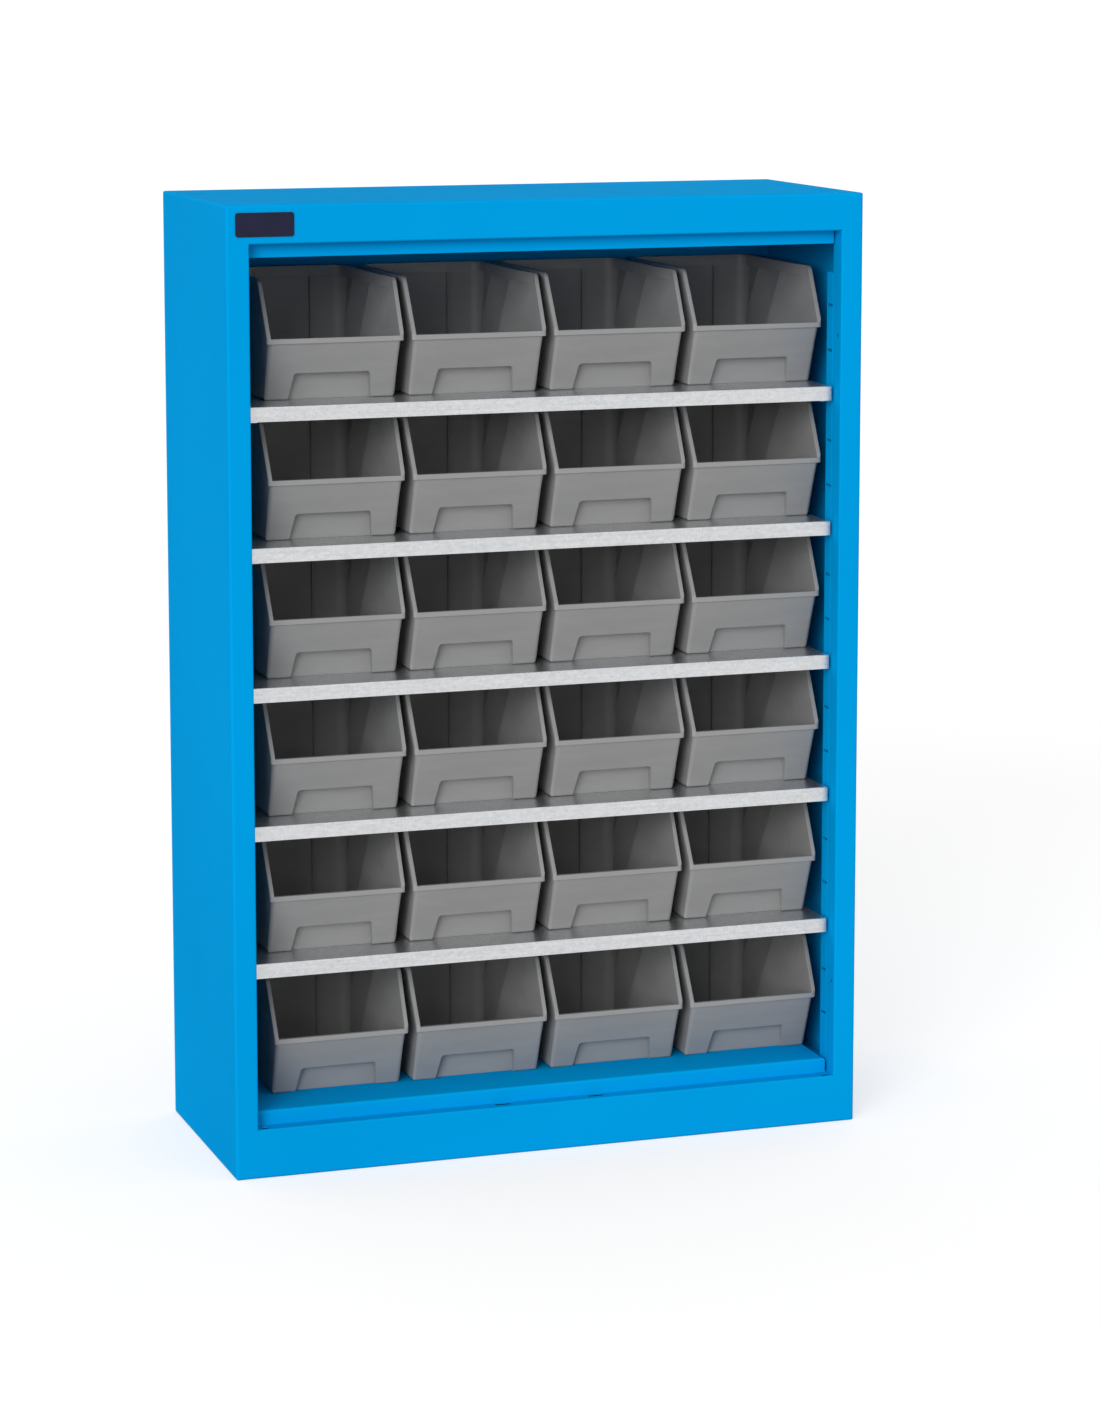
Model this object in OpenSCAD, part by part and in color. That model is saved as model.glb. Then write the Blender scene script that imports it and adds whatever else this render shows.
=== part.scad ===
// Open-fronted parts cabinet of folded sheet steel, with shelves on slotted uprights and loose plastic bins.
// Units are millimetres. The origin is at the middle of the base, +Z is up and the open front faces -Y.

/* [Bins] */
// Number of bins side by side
columns = 4; // [4:1:4]
// Number of tiers of bins
tiers = 6; // [6:1:6]
// Overall length of a bin, from its front rim to its rear rim
bin_l = 225; // [200:1:300]
// Overall width of a bin over its top rim
bin_w = 153.4; // [130:0.1:200]
// Overall height of a bin
bin_h = 128; // [115:1:160]
// Thickness of a bin's walls
bin_wall = 2.2; // [1.6:0.1:3]
// Thickness of a bin's floor
bin_floor = 2.4; // [1.6:0.1:4]
// How much narrower a bin's side is at the base than at the top
bin_draft = 2.4; // [1:0.1:5]
// Height of a bin's front, up to the top of its rim
front_h = 68; // [55:1:85]
// How far the front wall leans forward from base to rim
front_lean = 25.8; // [15:0.1:40]
// How far the sides' sloping front edges run back from the front to the top
slope_run = 34; // [20:1:60]
// Height of the band that makes the rim
rim_h = 5.5; // [3:0.5:9]
// How far the rim stands out from the walls
rim_out = 2.2; // [1:0.1:4]
// Gap between neighbouring bins' rims
bin_gap = 7.1; // [2:0.1:20]
// Setback of each tier's front rims from the cabinet's front, lowest tier first
tier_setback = [49, 34, 36, 40, 39, 45]; // [25:1:60]
// Share of the free play that each tier has been pushed to the right, lowest tier first
tier_push = [1, 0.5, 0.7, 0.75, 0.75, 0.85]; // [-1:0.05:1]
// Side play of a row of bins in the cabinet's opening
row_play = 32.1; // [10:0.1:80]
// Least clearance between a bin pushed aside and the uprights
side_clear = 1; // [0.5:0.1:5]

/* [Bin details] */
// Width of the recess in the front's foot, at its top
recess_w = 84; // [50:1:110]
// How much wider the recess is at the base
recess_flare = 8; // [0:1:16]
// Height of the recess
recess_h = 29.5; // [12:0.5:35]
// Depth of the recess at its top
recess_depth = 11; // [6:0.5:15]
// Depth of the recess at the base
recess_foot = 6; // [3:0.5:12]
// Distance from the front rim to the first hollow inside the side walls, at its top
hollow_start = 41; // [36:1:60]
// Length of each hollow, from ridge to ridge
hollow_l = 66; // [40:1:70]
// How far a ridge moves to the rear for each millimetre down
hollow_lean = 0.6; // [0.3:0.05:0.8]
// How far the ridges between the hollows stand in from the wall
ridge_h = 3.6; // [2:0.2:5]
// Height of the band over the hollows and round the rear wall
band_h = 12; // [8:0.5:20]
// Distance of the rear wall's ribs from the bin's middle
rib_x = 32; // [15:1:40]
// Thickness of the rear wall's ribs
rib_t = 1.8; // [1:0.1:3]
// Depth of the rear wall's ribs
rib_depth = 4.4; // [2:0.1:6]

/* [Cabinet] */
// Thickness of the cabinet's sheet steel
sheet_t = 1.2; // [0.8:0.1:2]
// Outer radius of the cabinet's folded edges
bend_r = 3; // [2.5:0.1:5]
// Outer radius of the folds round the opening
fold_r = 2; // [1.6:0.1:2.4]
// Width of the side stiles and of the folds behind and below
stile_w = 25; // [20:1:40]
// Depth of the stiles' return flanges
stile_return = 23; // [20:1:26]
// Height of the top rail
top_rail_h = 41; // [35:1:70]
// Height of the bottom rail
bottom_rail_h = 54; // [30:1:90]
// Height of the lip set back under the top rail
lip_h = 15; // [8:1:25]
// Gap between that lip's ends and the return flanges
lip_gap = 2.5; // [0.5:0.5:4]
// Headroom over the top tier of bins, up to the lip
top_room = 29; // [5:1:60]
// Gap behind the rearmost bins
rear_play = 3.6; // [2:0.1:20]
// Length of the ledge's two middle slots
ledge_slot_l = 18; // [8:1:30]
// Width of the ledge's slots
ledge_slot_w = 7; // [3:0.5:8]
// Distance of the middle slots from the cabinet's middle
ledge_slot_x = 54; // [20:1:120]
// Setback of the middle slots
ledge_slot_setback = 12; // [8:0.5:12.5]
// Length of the ledge's two corner slots
corner_slot_l = 9; // [4:1:12]
// Distance of the corner slots from the stiles
corner_slot_gap = 3.5; // [2:0.5:8]
// Setback of the corner slots
corner_slot_setback = 6.5; // [6.5:0.5:12]
// Diameter of the small holes in the return flanges
flange_hole_d = 5; // [3:0.5:7]
// Setback of the small holes
flange_hole_setback = 10; // [8:0.5:14]
// Distance of the small holes from the opening's lower edge and, at the top, from its upper edge
flange_hole_end = [107, 116]; // [60:1:200]

/* [Shelves] */
// Thickness of the shelves' sheet
shelf_t = 1; // [0.8:0.1:2]
// Height of the shelves' folded edges
shelf_h = 16; // [12:1:20]
// Outer radius of the shelves' folds
shelf_r = 1.6; // [1.2:0.1:2.5]
// Width of the fold turned in under the front and rear edges
hem_w = 12; // [6:1:20]
// Setback of the shelves and of the floor pan
shelf_setback = 17; // [12:1:22]
// Gap between a shelf's sides and the uprights
shelf_side_gap = 3.5; // [2.5:0.1:6]
// Gap behind the shelves
shelf_rear_gap = 2.6; // [1:0.1:10]
// Headroom over the bins, up to the next shelf's edge
head_room = 6; // [4:1:30]
// Headroom over the lowest tier's bins
low_head_room = 18; // [6:1:40]

/* [Uprights and clips] */
// Width of an upright's slotted face
upright_w = 19; // [17.5:0.5:30]
// Distance from the opening's upper edge down to the uprights' tops
upright_drop = 48; // [20:1:60]
// Length of a slot
slot_l = 15; // [10:0.5:16]
// Height of a slot
slot_h = 3; // [2.5:0.1:4]
// Slots to a tier
slots_per_tier = 3; // [1:1:5]
// Slots below the lowest shelf's own
slots_below = 2; // [0:1:2]
// Height of a shelf's top over the slot that carries it
shelf_over_slot = 12; // [11:0.5:14]
// Thickness of a clip
clip_t = 1.5; // [1:0.1:2]
// How far a clip's tongue reaches under a shelf
clip_reach = 10; // [5:0.5:15]
// Play of a clip along its slot
clip_play = 1; // [0.4:0.1:2]
// Play between a clip's hook and the back of the upright's face
hook_play = 0.3; // [0.1:0.1:0.8]
// Length of a clip's hook behind the face
hook_l = 5; // [3:0.5:8]

/* [Name plate] */
// Width of the bare name plate
plate_w = 63.4; // [40:0.1:90]
// Height of the name plate
plate_h = 25.5; // [15:0.5:30]
// Thickness of the name plate
plate_t = 0.8; // [0.5:0.1:1]
// Corner radius of the name plate
plate_r = 3; // [1:0.5:6]
// Distance of the name plate from the cabinet's left edge
plate_inset = 10; // [6:1:40]

/* [Hidden] */
$fn = 48;
through = 1;
// Rows of bins and the opening round them
bin_pitch = bin_w + bin_gap;
row_w = columns * bin_w + (columns - 1) * bin_gap;
opening_w = row_w + row_play;
opening_x = opening_w / 2;
push_range = row_play / 2 - side_clear;
// Heights, from the floor up
deck_z = bottom_rail_h;
floor_z = deck_z + shelf_h;
tier_pitch = bin_h + shelf_h + head_room;
low_shelf_z = floor_z + bin_h + low_head_room + shelf_h;
high_shelf_z = low_shelf_z + (tiers - 2) * tier_pitch;
lip_z = high_shelf_z + bin_h + top_room;
opening_z = lip_z + lip_h;
upright_z = opening_z - upright_drop;
slot_pitch = tier_pitch / slots_per_tier;
first_slot_z = low_shelf_z - shelf_over_slot - slots_below * slot_pitch;
slot_count = floor((upright_z - slot_h - first_slot_z) / slot_pitch) + 1;
// Overall sizes
body_w = opening_w + 2 * stile_w;
body_d = max(tier_setback) + bin_l + rear_play + 2 * sheet_t;
body_h = opening_z + top_rail_h;
front_y = -body_d / 2;
rear_y = body_d / 2;
side_in = body_w / 2 - sheet_t;
back_in = rear_y - 2 * sheet_t;
// Shelves and uprights
shelf_w = opening_w - 2 * shelf_side_gap;
shelf_y = front_y + shelf_setback;
shelf_d = back_in - shelf_rear_gap - shelf_y;
upright_y = front_y + stile_return;
slot_y = upright_y + upright_w / 2;
// Bins
front_thick = rim_out + bin_wall;
lean_angle = atan(front_lean / (front_h - rim_h));
wall_run = bin_wall / cos(lean_angle);
wall_top_x = bin_w / 2 - rim_out;
corner_r = 5;
rear_r = 16;
base_r = 4;
top_r = 10;
recess_r = 4;
rim_inner_r = 6;
rib_top_gap = 8;
hollow_depth = 0.92 * ridge_h;

bin_names = [for (tier = [1:tiers]) for (column = [1:columns]) str("bin_", tier, "_", column)];
shelf_names = [for (shelf = [1:tiers - 1]) str("shelf_", shelf)];
clip_names = [for (shelf = [1:tiers - 1]) str("clips_", shelf)];

blue = [0.02, 0.6, 0.87];
zinc = [0.78, 0.8, 0.81];
grey = [0.5, 0.5, 0.51];
navy = [0.11, 0.1, 0.2];

// Height of a shelf's top, counted from 1 at the bottom; tier 1 stands on the floor pan
function shelf_top(shelf) = low_shelf_z + (shelf - 1) * tier_pitch;
function tier_z(tier) = tier == 1 ? floor_z : shelf_top(tier - 1);

function unit(v) = v / norm(v);

// The points of an arc of radius r that rounds corner b between a and c
function corner_arc(a, b, c, r, steps) =
    let (u = unit(a - b), v = unit(c - b), half = acos(u * v) / 2)
    let (middle = b + unit(u + v) * r / sin(half))
    let (from = b + u * r / tan(half) - middle, to = b + v * r / tan(half) - middle)
    let (start = atan2(from.y, from.x), turn = atan2(from.x * to.y - from.y * to.x, from * to))
    [for (i = [0:steps]) middle + r * [cos(start + turn * i / steps), sin(start + turn * i / steps)]];

// An outline given as [x, y, radius] corners, with each corner of a radius over 0 rounded
function outline(corners, steps = 5) = [
    for (i = [0:len(corners) - 1])
        let (n = len(corners), here = corners[i])
        let (before = corners[(i + n - 1) % n], after = corners[(i + 1) % n])
        let (a = [before.x, before.y], b = [here.x, here.y], c = [after.x, after.y])
        each here[2] > 0 ? corner_arc(a, b, c, here[2], steps) : [b]
];

// A rectangle about the origin with true round corners
module rounded_rect(w, h, r) {
    square([w - 2 * r, h], center = true);
    square([w, h - 2 * r], center = true);
    for (x = [-1, 1], y = [-1, 1]) {
        translate([x * (w / 2 - r), y * (h / 2 - r)]) circle(r);
    }
}

// What a fold of radius r leaves outside its arc, along Z, with the fold's corner at the origin
module fold_cut(r, length) {
    linear_extrude(length, center = true) difference() {
        translate([-through, -through]) square(r + through);
        translate([r, r]) circle(r);
    }
}

// The closed cabinet, with every edge rounded, inset from its outer faces
module cabinet_form(inset) {
    w = body_w - 2 * inset;
    d = body_d - 2 * inset;
    h = body_h - 2 * inset;
    r = bend_r - inset;
    translate([0, 0, body_h / 2]) intersection() {
        linear_extrude(h, center = true) rounded_rect(w, d, r);
        rotate([90, 0, 0]) linear_extrude(d, center = true) rounded_rect(w, h, r);
        rotate([90, 0, 90]) linear_extrude(w, center = true) rounded_rect(d, h, r);
    }
}

module cabinet_shell() {
    difference() {
        cabinet_form(0);
        cabinet_form(sheet_t);
    }
}

// The left side: a tray with folds all round and a flange turned in beside the opening
module side_tray() {
    difference() {
        union() {
            intersection() {
                cabinet_shell();
                translate([-body_w, -body_d, -through])
                    cube([body_w - opening_x, 2 * body_d, body_h + 2 * through]);
            }
            translate([-opening_x - sheet_t, front_y + sheet_t / 2, deck_z])
                cube([sheet_t, stile_return - sheet_t / 2, opening_z - deck_z]);
        }
        translate([-opening_x, front_y, (deck_z + opening_z) / 2])
            rotate([0, 0, 90]) fold_cut(fold_r, opening_z - deck_z);
        for (z = [deck_z + flange_hole_end[0], opening_z - flange_hole_end[1]]) {
            translate([-opening_x - sheet_t / 2, front_y + flange_hole_setback, z])
                rotate([0, 90, 0]) cylinder(h = 2 * sheet_t, d = flange_hole_d, center = true);
        }
    }
}

module left_side() {
    color(blue) side_tray();
}

module right_side() {
    color(blue) mirror([1, 0, 0]) side_tray();
}

// The part of the shell between the sides, above z_front at the front half and above z_rear behind
module shell_between(z_front, z_rear, z_end) {
    intersection() {
        cabinet_shell();
        union() {
            translate([-opening_x, -body_d, z_front]) cube([opening_w, body_d, z_end - z_front]);
            translate([-opening_x, 0, z_rear]) cube([opening_w, body_d, z_end - z_rear]);
        }
    }
}

module top_panel() {
    lip_x = opening_x - lip_gap;
    color(blue) difference() {
        union() {
            shell_between(opening_z, body_h - stile_w, body_h + through);
            translate([-opening_x, front_y + sheet_t / 2, opening_z])
                cube([opening_w, shelf_setback + sheet_t / 2, sheet_t]);
            translate([-lip_x, shelf_y, lip_z]) cube([2 * lip_x, sheet_t, lip_h + sheet_t]);
        }
        translate([0, front_y, opening_z]) rotate([90, 0, 90]) fold_cut(fold_r, opening_w + through);
    }
}

module ledge_slots() {
    corner_slot_y = front_y + corner_slot_setback;
    for (side = [-1, 1]) {
        translate([side * ledge_slot_x, front_y + ledge_slot_setback, deck_z])
            cube([ledge_slot_l, ledge_slot_w, 4 * sheet_t], center = true);
        translate([side * (opening_x - corner_slot_gap - corner_slot_l / 2), corner_slot_y, deck_z])
            cube([corner_slot_l, ledge_slot_w, 4 * sheet_t], center = true);
    }
}

module bottom_panel() {
    deck_d = body_d - sheet_t;
    color(blue) difference() {
        union() {
            difference() {
                shell_between(-through, -through, deck_z);
                translate([-body_w, front_y + stile_w, -through])
                    cube([2 * body_w, body_d - 2 * stile_w, 2 * sheet_t + through]);
            }
            translate([-opening_x, front_y + sheet_t / 2, deck_z - sheet_t])
                cube([opening_w, deck_d - sheet_t / 2, sheet_t]);
            translate([-side_in, upright_y, deck_z - sheet_t])
                cube([2 * side_in, deck_d - stile_return, sheet_t]);
        }
        translate([0, front_y, deck_z]) rotate([0, 90, 0]) fold_cut(fold_r, opening_w + through);
        ledge_slots();
    }
}

module back_panel() {
    edge = bend_r + through;
    color(blue) translate([-body_w / 2 + edge, back_in, deck_z])
        cube([body_w - 2 * edge, sheet_t, body_h - edge - deck_z]);
}

// A tray turned upside down: a flat top with folded edges, and hems under the front and rear edges
module pan(w, d, h, t, r) {
    module pan_form(inset, depth) {
        intersection() {
            rotate([90, 0, 0]) linear_extrude(2 * d, center = true)
                pan_section(w - 2 * inset, depth, r - inset);
            rotate([90, 0, 90]) linear_extrude(2 * w, center = true)
                pan_section(d - 2 * inset, depth, r - inset);
        }
    }
    module pan_section(width, depth, radius) {
        translate([0, -depth / 2 - radius]) square([width, depth - 2 * radius + radius * 2], center = true);
        translate([0, -radius / 2]) square([width - 2 * radius, radius], center = true);
        for (side = [-1, 1]) {
            translate([side * (width / 2 - radius), -radius]) circle(radius);
        }
    }
    difference() {
        intersection() {
            pan_form(0, h);
            translate([-w, -d, -h]) cube([2 * w, 2 * d, h]);
        }
        translate([0, 0, -t]) pan_form(t, h);
    }
    for (side = [-1, 1]) {
        translate([0, side * (d / 2 - t / 2 - hem_w / 2), -h + t / 2])
            cube([w - 2 * t, hem_w, t], center = true);
    }
}

module floor_pan() {
    color(blue) translate([0, shelf_y + shelf_d / 2, floor_z])
        pan(shelf_w, shelf_d, shelf_h, sheet_t, bend_r);
}

module shelf(number) {
    color(zinc) translate([0, shelf_y + shelf_d / 2, shelf_top(number)])
        pan(shelf_w, shelf_d, shelf_h, shelf_t, shelf_r);
}

// The front right upright: a channel whose slotted face is flush with the stile's return flange
module upright() {
    depth = side_in - opening_x;
    difference() {
        translate([opening_x, upright_y, deck_z]) linear_extrude(upright_z - deck_z) difference() {
            intersection() {
                translate([depth, upright_w / 2]) rounded_rect(2 * depth, upright_w, fold_r);
                square([depth, upright_w]);
            }
            translate([depth, upright_w / 2])
                rounded_rect(2 * (depth - sheet_t), upright_w - 2 * sheet_t, fold_r - sheet_t);
        }
        for (i = [0:slot_count - 1]) {
            translate([opening_x, slot_y, first_slot_z + i * slot_pitch])
                cube([4 * sheet_t, slot_l, slot_h], center = true);
        }
    }
}

module upright_at(left, rear) {
    color(blue) mirror([left, 0, 0]) mirror([0, rear, 0]) upright();
}

// One clip at the front right: a tongue under the shelf's side and a hook through the upright's slot
module clip(slot_z) {
    tongue_top = slot_z + shelf_over_slot - shelf_h;
    hook_base = slot_z - slot_h / 2;
    width = slot_l - clip_play;
    hook_x = opening_x + sheet_t + hook_play;
    translate([0, slot_y - width / 2, 0]) {
        translate([opening_x - shelf_side_gap - clip_reach, 0, tongue_top - clip_t])
            cube([shelf_side_gap + clip_reach, width, clip_t]);
        translate([opening_x - clip_t, 0, tongue_top - clip_t])
            cube([clip_t, width, hook_base + clip_t - tongue_top + clip_t]);
        translate([opening_x - clip_t, 0, hook_base])
            cube([clip_t + sheet_t + hook_play + clip_t, width, clip_t]);
        translate([hook_x, 0, hook_base + clip_t - hook_l]) cube([clip_t, width, hook_l]);
    }
}

module clips(number) {
    slot_z = shelf_top(number) - shelf_over_slot;
    color(zinc) for (left = [0, 1], rear = [0, 1]) {
        mirror([left, 0, 0]) mirror([0, rear, 0]) clip(slot_z);
    }
}

module name_plate() {
    color(navy)
        translate([-body_w / 2 + plate_inset + plate_w / 2, front_y, opening_z + top_rail_h / 2])
        rotate([90, 0, 0]) linear_extrude(plate_t) rounded_rect(plate_w, plate_h, plate_r);
}

// A bin stands with its base at z 0, its middle at x 0 and its front rim at y 0
// Extrudes an outline drawn in y and z across the bin
module across(corners) {
    rotate([90, 0, 90]) linear_extrude(2 * bin_w, center = true) polygon(outline(corners));
}

// A wedge along the bin whose half width is half at the top and less by the draft at the base
module tapered(half, r_base) {
    rotate([90, 0, 0]) linear_extrude(4 * bin_l, center = true) polygon(outline([
        [-half + bin_draft, 0, r_base],
        [half - bin_draft, 0, r_base],
        [half, bin_h, 0],
        [half, 2 * bin_h, 0],
        [-half, 2 * bin_h, 0],
        [-half, bin_h, 0]
    ]));
}

// The plan of a bin, from y_front to y_rear, with its corners rounded
module plan(half, y_front, y_rear, r_front, r_rear) {
    linear_extrude(2 * bin_h) polygon(outline([
        [-half, y_front, r_front],
        [half, y_front, r_front],
        [half, y_rear, r_rear],
        [-half, y_rear, r_rear]
    ]));
}

// The front wall's outer face, as y at height z
function front_face(z) = rim_out + front_lean * (1 - z / (front_h - rim_h));

module bin_walls() {
    intersection() {
        across([
            [front_face(0), 0, base_r],
            [front_face(front_h - rim_h), front_h - rim_h, 0],
            [rim_out, front_h, 0],
            [rim_out + slope_run, bin_h, top_r],
            [bin_l - rim_out, bin_h, 0],
            [bin_l - rim_out, 0, base_r]
        ]);
        tapered(wall_top_x, base_r);
        plan(wall_top_x, -through, bin_l - rim_out, 0, rear_r);
    }
}

// Rounds the front wall's upright corners along its lean
module front_corner_cuts() {
    length = (front_h - rim_h) / cos(lean_angle);
    half = wall_top_x - bin_draft * (1 - front_h / bin_h);
    for (side = [0, 1]) {
        mirror([side, 0, 0]) translate([half, front_face(0), 0]) rotate([lean_angle, 0, 0])
            rotate([0, 0, 90]) translate([0, 0, length / 2]) fold_cut(corner_r, length + 4 * corner_r);
    }
}

module bin_rim() {
    slope = unit([slope_run, bin_h - front_h]);
    inner = [0, front_h] + rim_h * [slope.y, -slope.x];
    inner_y = inner.x + (bin_h - rim_h - inner.y) * slope.x / slope.y;
    foot_y = inner.x + (front_h - rim_h - inner.y) * slope.x / slope.y;
    intersection() {
        across([
            [0, front_h - rim_h, 0],
            [0, front_h, 0],
            [slope_run, bin_h, top_r],
            [bin_l, bin_h, 0],
            [bin_l, bin_h - rim_h, 0],
            [inner_y, bin_h - rim_h, rim_inner_r],
            [foot_y, front_h - rim_h, 0]
        ]);
        tapered(wall_top_x + rim_out, 0);
        plan(wall_top_x + rim_out, 0, bin_l, corner_r, rear_r + rim_out);
    }
}

module bin_cavity() {
    inner_rear = bin_l - rim_out - bin_wall;
    intersection() {
        across([
            [front_face(bin_floor) + wall_run, bin_floor, 0],
            [front_thick, front_h - rim_h, 0],
            [front_thick, front_h, 0],
            [-through, front_h, 0],
            [-through, 2 * bin_h, 0],
            [inner_rear, 2 * bin_h, 0],
            [inner_rear, bin_floor, base_r - bin_wall / 2]
        ]);
        tapered(wall_top_x - bin_wall, 0);
        plan(wall_top_x - bin_wall, -through, inner_rear, 0, rear_r - bin_wall);
    }
}

// The recess in the front's foot, grown outwards by a wall where it shows inside the bin
module bin_recess(grow) {
    top = recess_h + grow;
    foot = -recess_h;
    steeper = (recess_depth - recess_foot) / recess_h;
    function reach(z) = (recess_foot + steeper * z) / cos(lean_angle) + (grow > 0 ? wall_run : 0);
    flare = recess_flare / 2;
    intersection() {
        rotate([90, 0, 0]) linear_extrude(4 * bin_l, center = true) polygon(outline([
            [-recess_w / 2 - grow - 2 * flare, foot, 0],
            [recess_w / 2 + grow + 2 * flare, foot, 0],
            [recess_w / 2 + grow, top, recess_r],
            [-recess_w / 2 - grow, top, recess_r]
        ]));
        across([
            [front_face(foot) + reach(foot), foot, 0],
            [front_face(top) + reach(top), top + through, 0],
            [front_face(top) - bin_l, top + through, 0],
            [front_face(foot) - bin_l, foot, 0]
        ]);
    }
}

// The lining of the right wall below its band: leaning hollows, one after another, with a ridge behind each.
// The first hollow starts at its lowest line, almost level with the wall before it.
module bin_hollows() {
    root = wall_top_x - bin_wall / 2;
    ridge_x = wall_top_x - bin_wall - ridge_h - bin_draft * band_h / bin_h;
    foot = bin_floor / 2;
    top = bin_h - band_h;
    end_y = bin_l - rim_out - rear_r;
    turn = atan(hollow_lean);
    run = hollow_l * cos(turn);
    function hollow_x(share) = ridge_x + hollow_depth * (1 - share * share);
    intersection() {
        rotate([90, 0, 90]) linear_extrude(bin_w) polygon([
            [hollow_start, top],
            [end_y, top],
            [end_y, foot],
            [hollow_start + hollow_lean / 2 * (top - foot), foot]
        ]);
        translate([0, hollow_start, top]) rotate([turn, atan(bin_draft / bin_h), 0])
            linear_extrude(4 * bin_h, center = true) polygon(concat(
                [[root, 0]],
                [for (i = [0:5]) [hollow_x(i / 5), i / 5 * run]],
                [for (hollow = [1, 2], i = [1:10]) [hollow_x(i / 5 - 1), (hollow + i / 10) * run]],
                [[root, 3 * run]]
            ));
    }
}

// The band inside the top of the side and rear walls, which rises from the wall at its two front ends
module bin_band() {
    root_x = wall_top_x - bin_wall / 2;
    root_y = bin_l - rim_out - bin_wall / 2;
    face_x = wall_top_x - bin_wall - ridge_h;
    face_y = bin_l - rim_out - bin_wall - ridge_h;
    risen_y = hollow_start + hollow_l / 2;
    translate([0, 0, bin_h - band_h]) linear_extrude(band_h) difference() {
        polygon(outline([
            [-root_x, hollow_start, 0],
            [root_x, hollow_start, 0],
            [root_x, root_y, rear_r - bin_wall / 2],
            [-root_x, root_y, rear_r - bin_wall / 2]
        ]));
        polygon(outline([
            [-face_x - hollow_depth, hollow_start - through, 0],
            [face_x + hollow_depth, hollow_start - through, 0],
            [face_x + hollow_depth, hollow_start, 0],
            [face_x, risen_y, 0],
            [face_x, face_y, rear_r - bin_wall - ridge_h],
            [-face_x, face_y, rear_r - bin_wall - ridge_h],
            [-face_x, risen_y, 0],
            [-face_x - hollow_depth, hollow_start, 0]
        ]));
    }
}

// Ribs on the rear wall's inner face
module bin_rear_ribs() {
    inner_rear = bin_l - rim_out - bin_wall;
    for (side = [-1, 1]) {
        translate([side * rib_x - rib_t / 2, inner_rear - rib_depth, bin_floor / 2])
            cube([rib_t, rib_depth + bin_wall / 2, bin_h - rib_top_gap]);
    }
}

module bin() {
    difference() {
        union() {
            difference() {
                bin_walls();
                front_corner_cuts();
            }
            bin_rim();
        }
        difference() {
            bin_cavity();
            bin_recess(bin_wall);
        }
        bin_recess(0);
    }
    bin_hollows();
    mirror([1, 0, 0]) bin_hollows();
    bin_band();
    bin_rear_ribs();
}

module bin_at(tier, column) {
    x = (column - (columns + 1) / 2) * bin_pitch + tier_push[tier - 1] * push_range;
    color(grey) translate([x, front_y + tier_setback[tier - 1], tier_z(tier)]) bin();
}

left_side();
right_side();
top_panel();
bottom_panel();
back_panel();
floor_pan();
upright_at(1, 0);  // upright_front_left
upright_at(0, 0);  // upright_front_right
upright_at(1, 1);  // upright_rear_left
upright_at(0, 1);  // upright_rear_right
for (i = [1:tiers - 1]) shelf(i);
for (i = [1:tiers - 1]) clips(i);
name_plate();
for (i = [1:tiers]) for (j = [1:columns]) bin_at(i, j);
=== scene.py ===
"""Looks of the open-fronted parts cabinet and its bins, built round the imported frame."""
import math

import bmesh
import bpy
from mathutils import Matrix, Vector


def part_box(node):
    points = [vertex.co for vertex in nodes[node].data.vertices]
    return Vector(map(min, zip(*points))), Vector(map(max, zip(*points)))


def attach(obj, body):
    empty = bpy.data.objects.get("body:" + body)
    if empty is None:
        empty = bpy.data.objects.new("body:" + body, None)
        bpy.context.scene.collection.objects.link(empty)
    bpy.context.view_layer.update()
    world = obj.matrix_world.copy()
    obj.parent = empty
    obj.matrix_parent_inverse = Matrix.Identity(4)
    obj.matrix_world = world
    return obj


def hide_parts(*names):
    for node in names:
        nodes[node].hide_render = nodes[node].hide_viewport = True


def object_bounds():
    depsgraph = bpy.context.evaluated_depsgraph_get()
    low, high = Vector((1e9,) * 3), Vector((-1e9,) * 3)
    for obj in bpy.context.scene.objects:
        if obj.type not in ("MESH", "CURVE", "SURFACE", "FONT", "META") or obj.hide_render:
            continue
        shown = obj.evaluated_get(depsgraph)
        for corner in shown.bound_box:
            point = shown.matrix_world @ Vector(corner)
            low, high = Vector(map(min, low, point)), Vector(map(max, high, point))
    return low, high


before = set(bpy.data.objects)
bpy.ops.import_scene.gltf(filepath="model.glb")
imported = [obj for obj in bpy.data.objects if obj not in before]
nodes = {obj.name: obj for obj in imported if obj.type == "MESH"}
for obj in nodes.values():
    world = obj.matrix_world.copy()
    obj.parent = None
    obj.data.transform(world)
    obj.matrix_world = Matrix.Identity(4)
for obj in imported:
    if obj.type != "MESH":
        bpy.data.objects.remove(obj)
cad_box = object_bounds()
scene = bpy.context.scene

# Camera, fitted to the photograph's corners of the cabinet
FOCAL_PX = 4064.8
FRAME_H_PX = 1422
SENSOR_MM = 36
CAMERA_AT = (-1.4001, -4.2386, 1.3089)
CAMERA_YAW = 18.818
CAMERA_DOWN = 8.288
CAMERA_SHIFT = -0.12

AMBIENT = 0.74  # the world as a light
WHITE = (1.0, 1.0, 1.0, 1)
FLOOR_GREY = 0.57  # the floor's own colour
FLOOR_LIFT = 0.52  # how far the pale floor is lifted towards the white backdrop
FLOOR_REACH = 30  # from the middle to the floor's sides
BASE_INSET = 0.004  # the lift stops this far inside the cabinet's base, where the slots look down

# The bins' mesh, in metres and degrees
CAD_WELD = 1.5e-4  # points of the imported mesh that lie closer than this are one
CAD_SLIVER = 1e-4
EDGE_WELD = 1e-5  # the same after the edges are rounded
FLAT_ANGLE = 0.6  # faces that meet at less than this are one flat face
SHARP_ANGLE = 19.5  # edges over this are rounded, so the hollows' ridges are and their arcs are not
EDGE_ROUND = 0.00035


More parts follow.
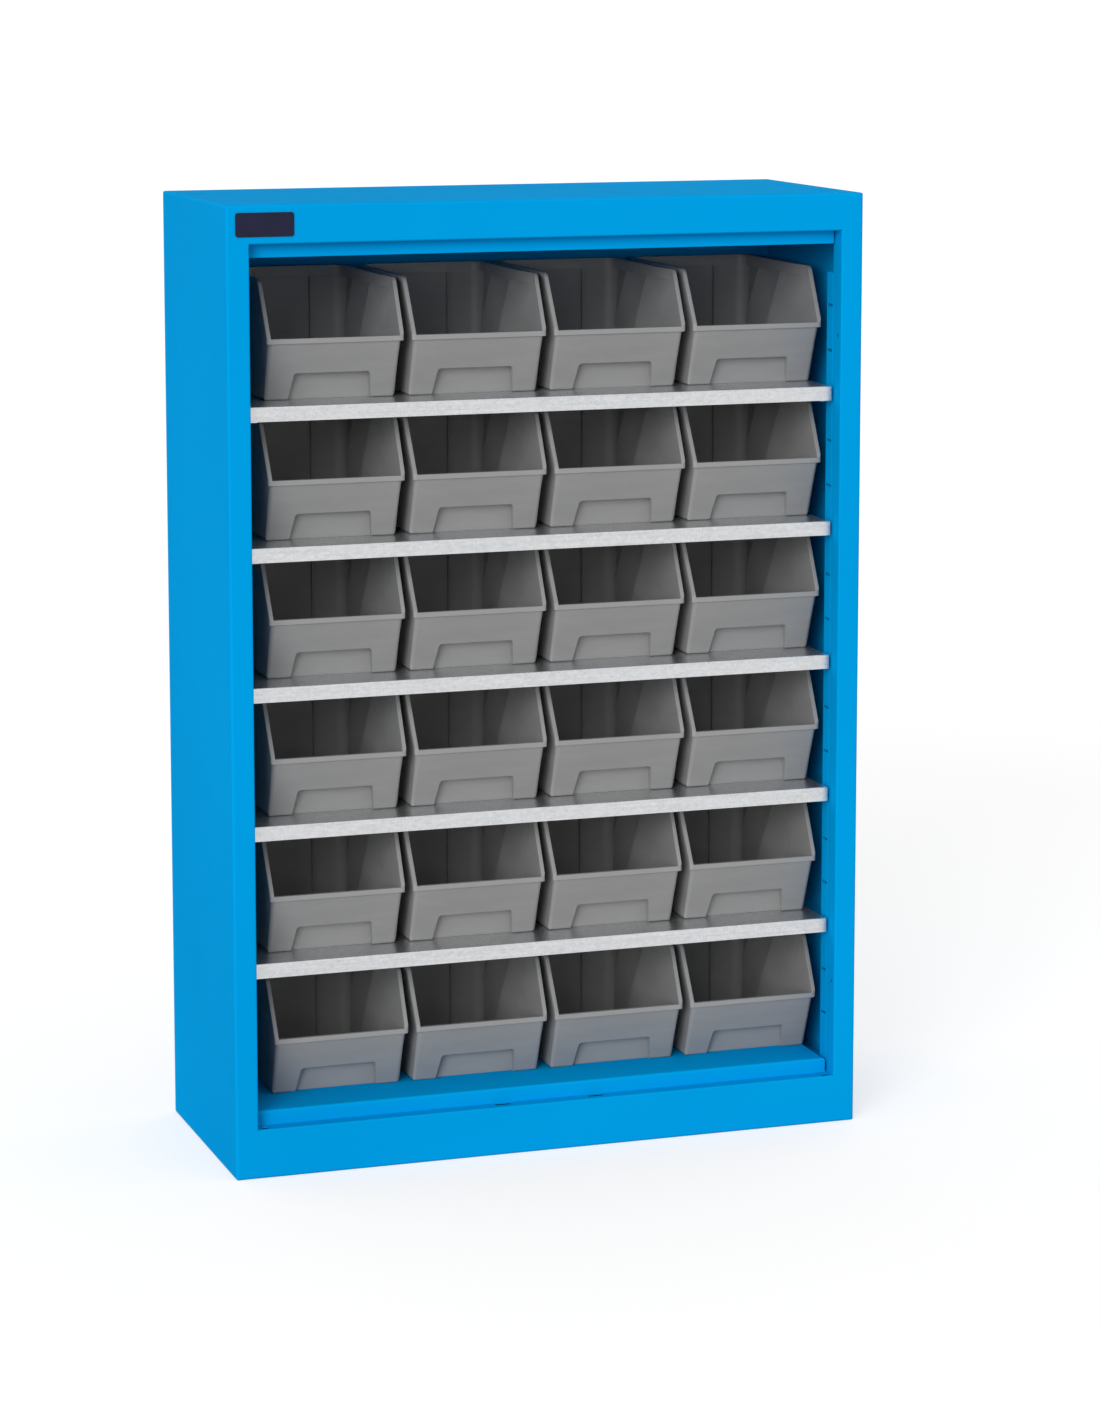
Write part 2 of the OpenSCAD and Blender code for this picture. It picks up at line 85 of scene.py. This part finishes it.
# ---------------------------------------------------------------- shader helpers
class Shader:
    """A material's node tree with short calls for the nodes used here."""

    def __init__(self, name):
        self.mat = bpy.data.materials.new(name)
        self.mat.use_nodes = True
        self.tree = self.mat.node_tree
        self.bsdf = self.tree.nodes["Principled BSDF"]
        self.coords = self.add("ShaderNodeTexCoord").outputs["Object"]

    def add(self, kind, **settings):
        made = self.tree.nodes.new(kind)
        for key, value in settings.items():
            setattr(made, key, value)
        return made

    def link(self, a, b):
        self.tree.links.new(a, b)

    def scaled(self, vector, x, y, z):
        made = self.add("ShaderNodeMapping")
        made.inputs["Scale"].default_value = (x, y, z)
        self.link(vector, made.inputs["Vector"])
        return made.outputs["Vector"]

    def noise(self, scale, detail=2.0, rough=0.5, vector=None):
        made = self.add("ShaderNodeTexNoise")
        made.inputs["Scale"].default_value = scale
        made.inputs["Detail"].default_value = detail
        made.inputs["Roughness"].default_value = rough
        self.link(vector or self.coords, made.inputs["Vector"])
        return made.outputs["Fac"]

    def cells(self, scale, vector=None):
        made = self.add("ShaderNodeTexVoronoi")
        made.inputs["Scale"].default_value = scale
        self.link(vector or self.coords, made.inputs["Vector"])
        grey = self.add("ShaderNodeSeparateColor")
        self.link(made.outputs["Color"], grey.inputs["Color"])
        return grey.outputs["Red"]

    def spread(self, value, low, high, from_low=0.3, from_high=0.7):
        made = self.add("ShaderNodeMapRange")
        limits = {"From Min": from_low, "From Max": from_high, "To Min": low, "To Max": high}
        for key, number in limits.items():
            made.inputs[key].default_value = number
        self.link(value, made.inputs["Value"])
        return made.outputs["Result"]

    def colours(self, value, dark, light, low=0.3, high=0.7):
        made = self.add("ShaderNodeValToRGB")
        made.color_ramp.elements[0].position = low
        made.color_ramp.elements[0].color = (*dark, 1)
        made.color_ramp.elements[1].position = high
        made.color_ramp.elements[1].color = (*light, 1)
        self.link(value, made.inputs["Fac"])
        return made.outputs["Color"]

    def average(self, a, b, share=0.5):
        made = self.add("ShaderNodeMix")
        made.inputs["Factor"].default_value = share
        self.link(a, made.inputs["A"])
        self.link(b, made.inputs["B"])
        return made.outputs["Result"]

    def bump(self, height, strength, distance, under=None):
        made = self.add("ShaderNodeBump")
        made.inputs["Strength"].default_value = strength
        made.inputs["Distance"].default_value = distance
        self.link(height, made.inputs["Height"])
        if under is not None:
            self.link(under, made.inputs["Normal"])
        return made.outputs["Normal"]

    def surface(self, colour=None, roughness=None, normal=None, **constants):
        for key, socket in (("Base Color", colour), ("Roughness", roughness), ("Normal", normal)):
            if socket is not None:
                self.link(socket, self.bsdf.inputs[key])
        for key, value in constants.items():
            self.bsdf.inputs[key.replace("_", " ")].default_value = value
        return self.mat


def powder_coat():
    """Matt blue powder coat: faint orange peel and a very slight drift of tone."""
    s = Shader("blue_powder_coat")
    colour = s.colours(s.noise(2.5, 3), (0.0, 0.294, 0.664), (0.0, 0.318, 0.712))
    rough = s.spread(s.noise(45, 3), 0.68, 0.78)
    peel = s.bump(s.noise(520, 2), 0.10, 0.0003)
    grain = s.bump(s.noise(2600, 1), 0.08, 0.0001, peel)
    return s.surface(colour, rough, grain, Specular_IOR_Level=0.004)


def galvanised():
    """Galvanised sheet: a fine grain of small spangles under faint rolling lines."""
    s = Shader("galvanised_sheet")
    grain = s.noise(620, 3, 0.65)
    spangle = s.cells(330, s.scaled(s.coords, 0.7, 1.0, 1.0))
    lines = s.noise(9, 3, 0.6, s.scaled(s.coords, 1.2, 80, 80))
    mixed = s.average(s.average(grain, spangle, 0.22), lines, 0.35)
    colour = s.colours(mixed, (0.52, 0.535, 0.55), (0.73, 0.74, 0.75), 0.3, 0.7)
    rough = s.spread(s.average(grain, lines), 0.24, 0.36)
    normal = s.bump(lines, 0.08, 0.0002, s.bump(grain, 0.08, 0.0001))
    return s.surface(colour, rough, normal, Metallic=0.92)


def moulded_grey():
    """Grey moulded plastic: fine satin grain with faint flow marks."""
    s = Shader("grey_moulded_plastic")
    flow = s.noise(14, 4, 0.6, s.scaled(s.coords, 0.7, 1.0, 2.5))
    colour = s.colours(flow, (0.248, 0.248, 0.248), (0.284, 0.283, 0.280))
    rough = s.spread(s.noise(90, 3), 0.42, 0.56)
    grain = s.bump(s.noise(1900, 2), 0.12, 0.0001, s.bump(flow, 0.02, 0.0004))
    return s.surface(colour, rough, grain, Specular_IOR_Level=0.4)


def plate_navy():
    """Smooth dark plate, bare."""
    s = Shader("navy_plate")
    colour = s.colours(s.noise(60, 3), (0.004, 0.005, 0.024), (0.007, 0.008, 0.034))
    rough = s.spread(s.noise(300, 2), 0.26, 0.36)
    return s.surface(colour, rough, s.bump(s.noise(900, 2), 0.05, 0.0001), Specular_IOR_Level=0.22)


BLUE, ZINC, GREY, NAVY = powder_coat(), galvanised(), moulded_grey(), plate_navy()


def dress(obj, mat):
    obj.data.materials.clear()
    obj.data.materials.append(mat)


# ---------------------------------------------------------------- bins
def front_foot(name):
    """The middle of the front lower edge of a node's box."""
    low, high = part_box(name)
    return Vector(((low.x + high.x) / 2, low.y, low.z))


def bin_mesh(source):
    """One bin's mesh, about the foot of its box's front, with real rounded edges."""
    made = bmesh.new()
    made.from_mesh(source.data)
    bmesh.ops.remove_doubles(made, verts=made.verts, dist=CAD_WELD)
    bmesh.ops.dissolve_degenerate(made, dist=CAD_SLIVER, edges=made.edges)
    bmesh.ops.translate(made, verts=made.verts, vec=-front_foot(source.name))
    flat = math.radians(FLAT_ANGLE)
    bmesh.ops.dissolve_limit(made, angle_limit=flat, verts=made.verts, edges=made.edges)
    paired = [e for e in made.edges if len(e.link_faces) == 2]
    sharp = [e for e in paired if e.calc_face_angle(0) > math.radians(SHARP_ANGLE)]
    bmesh.ops.bevel(
        made, geom=sharp, offset=EDGE_ROUND, offset_type="OFFSET", segments=2, profile=0.5,
        affect="EDGES", clamp_overlap=False, harden_normals=False)
    bmesh.ops.remove_doubles(made, verts=made.verts, dist=EDGE_WELD)
    bmesh.ops.dissolve_degenerate(made, dist=EDGE_WELD, edges=made.edges)
    bmesh.ops.holes_fill(made, edges=[e for e in made.edges if e.is_boundary], sides=4)
    bmesh.ops.delete(made, geom=[e for e in made.edges if e.is_wire], context="EDGES")
    bmesh.ops.triangulate(made, faces=[f for f in made.faces if len(f.verts) > 4])
    mesh = bpy.data.meshes.new("bin_body")
    made.to_mesh(mesh)
    made.free()
    for face in mesh.polygons:
        face.use_smooth = True
    return weighted(mesh)


def weighted(mesh):
    """The mesh with its shading normals led by its larger faces, so flat walls look flat."""
    holder = bpy.data.objects.new("holder", mesh)
    scene.collection.objects.link(holder)
    weight = holder.modifiers.new("weight", "WEIGHTED_NORMAL")
    weight.weight = 100
    weight.keep_sharp = False
    graph = bpy.context.evaluated_depsgraph_get()
    held = bpy.data.meshes.new_from_object(holder.evaluated_get(graph))
    bpy.data.objects.remove(holder)
    return held


bin_names = sorted(n for n in nodes if n.startswith("bin_"))
tub = bin_mesh(nodes[bin_names[0]])
tub.materials.append(GREY)
for name in bin_names:
    piece = bpy.data.objects.new(name.replace("bin", "tub"), tub)
    piece.location = front_foot(name)
    scene.collection.objects.link(piece)
    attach(piece, name)
    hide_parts(name)

# ---------------------------------------------------------------- carried-over nodes
for name, obj in nodes.items():
    if name.startswith("bin_"):
        dress(obj, GREY)
    elif name.startswith(("shelf_", "clips_")):
        dress(obj, ZINC)
    elif name == "name_plate":
        dress(obj, NAVY)
    else:
        dress(obj, BLUE)


# ---------------------------------------------------------------- floor, light and camera
def maths(tree, operation, first, second):
    """The output of one maths node; the second value is a socket or a number."""
    made = tree.nodes.new("ShaderNodeMath")
    made.operation = operation
    tree.links.new(first, made.inputs[0])
    if isinstance(second, bpy.types.NodeSocket):
        tree.links.new(second, made.inputs[1])
    else:
        made.inputs[1].default_value = second
    return made.outputs[0]


def seen_white(tree):
    """1 for a ray from the camera or one that metal or glass sends on, else 0."""
    path = tree.nodes.new("ShaderNodeLightPath").outputs
    shiny = maths(tree, "MAXIMUM", path["Is Glossy Ray"], path["Is Transmission Ray"])
    return maths(tree, "MAXIMUM", path["Is Camera Ray"], shiny)


def pale_floor():
    """A floor that takes the object's shadow, and looks near white outside the cabinet's base."""
    s = Shader("pale_floor")
    tone = s.colours(s.noise(1.5, 2), (FLOOR_GREY * 0.995,) * 3, (FLOOR_GREY,) * 3)
    rough = s.spread(s.noise(30, 2), 0.85, 0.9)
    mat = s.surface(tone, rough, Specular_IOR_Level=0.0, Emission_Color=WHITE)
    place = s.add("ShaderNodeVectorMath", operation="ABSOLUTE")
    s.link(s.add("ShaderNodeNewGeometry").outputs["Position"], place.inputs[0])
    parts = s.add("ShaderNodeSeparateXYZ")
    s.link(place.outputs["Vector"], parts.inputs["Vector"])
    beside = maths(s.tree, "GREATER_THAN", parts.outputs["X"], cad_box[1][0] - BASE_INSET)
    before = maths(s.tree, "GREATER_THAN", parts.outputs["Y"], cad_box[1][1] - BASE_INSET)
    outside = maths(s.tree, "MAXIMUM", beside, before)
    lift = maths(s.tree, "MULTIPLY", seen_white(s.tree), FLOOR_LIFT)
    s.link(maths(s.tree, "MULTIPLY", lift, outside), s.bsdf.inputs["Emission Strength"])
    return mat


floor_mesh = bpy.data.meshes.new("studio_floor")
corners = [(x * FLOOR_REACH, y * FLOOR_REACH, 0) for x, y in ((-1, -1), (1, -1), (1, 1), (-1, 1))]
floor_mesh.from_pydata(corners, [], [(0, 1, 2, 3)])
floor = bpy.data.objects.new("studio_floor", floor_mesh)
floor.data.materials.append(pale_floor())
scene.collection.objects.link(floor)

world = bpy.data.worlds.new("studio")
scene.world = world
world.use_nodes = True
w = world.node_tree
light = w.nodes["Background"]
light.inputs["Color"].default_value = WHITE
light.inputs["Strength"].default_value = AMBIENT
seen = w.nodes.new("ShaderNodeBackground")
seen.inputs["Color"].default_value = WHITE
choose = w.nodes.new("ShaderNodeMixShader")
w.links.new(seen_white(w), choose.inputs[0])
w.links.new(light.outputs[0], choose.inputs[1])
w.links.new(seen.outputs[0], choose.inputs[2])
w.links.new(choose.outputs[0], w.nodes["World Output"].inputs["Surface"])


def sun(name, azimuth, elevation, strength, angle):
    """A soft sun that comes from the azimuth (0 the front, 90 the left) at the elevation."""
    lamp = bpy.data.lights.new(name, "SUN")
    lamp.energy = strength
    lamp.angle = math.radians(angle)
    obj = bpy.data.objects.new(name, lamp)
    az, el = math.radians(azimuth), math.radians(elevation)
    toward = Vector((math.sin(az) * math.cos(el), math.cos(az) * math.cos(el), -math.sin(el)))
    obj.rotation_euler = toward.to_track_quat("-Z", "Y").to_euler()
    obj.location = -3 * toward
    scene.collection.objects.link(obj)


sun("key_light", 38, 17, 1.9, 30)

camera = bpy.data.objects.new("camera", bpy.data.cameras.new("camera"))
scene.collection.objects.link(camera)
camera.data.lens = FOCAL_PX * SENSOR_MM / FRAME_H_PX
camera.data.sensor_width = SENSOR_MM
camera.data.shift_y = CAMERA_SHIFT
camera.data.clip_end = 100
camera.location = CAMERA_AT
camera.rotation_euler = (math.radians(90 - CAMERA_DOWN), 0, math.radians(-CAMERA_YAW))
scene.camera = camera
scene.view_settings.view_transform = "Standard"
